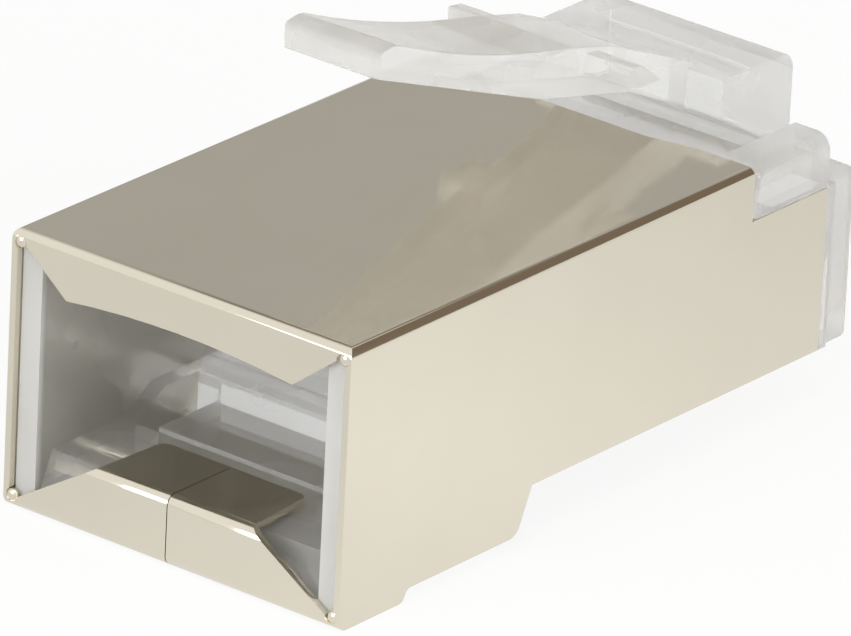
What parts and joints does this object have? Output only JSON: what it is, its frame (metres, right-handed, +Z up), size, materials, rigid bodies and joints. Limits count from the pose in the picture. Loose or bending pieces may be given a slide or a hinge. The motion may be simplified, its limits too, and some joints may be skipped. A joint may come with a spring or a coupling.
{
  "type": "shielded modular ethernet plug",
  "caption": "Shielded modular network plug as supplied, before a cable is crimped in: clear moulded housing, folded metal shield, gold-plated blades and a springy press-down latch.",
  "frame": {"origin": "middle of the plug's footprint on its lowest face, the foot of the shield at the cable entry", "axes": "+X across the width, +Y from the cable entry to the nose that goes into the jack, +Z up towards the latch"},
  "size_m": [0.0116, 0.0226, 0.0136],
  "materials": {
    "nickel_sheet": "bright nickel plating on thin folded sheet",
    "clear_plastic": "clear polycarbonate, moulded, slightly milky",
    "gold_blade": "gold flash over phosphor bronze"
  },
  "bodies": {
    "plug": {"shield": "nickel_sheet", "housing": "clear_plastic", "contact_1": "gold_blade", "contact_2": "gold_blade", "contact_3": "gold_blade", "contact_4": "gold_blade", "contact_5": "gold_blade", "contact_6": "gold_blade", "contact_7": "gold_blade", "contact_8": "gold_blade"},
    "latch_lever": {"latch": "clear_plastic"}
  },
  "joints": [
    {"name": "latch_press", "type": "hinge", "parent": "plug", "child": "latch_lever", "pos_m": [0, 0.0105, 0.00662], "axis": [1, 0, 0], "range_deg": [0, 11.5], "stiffness_Nm_per_rad": 0.02}
  ]
}
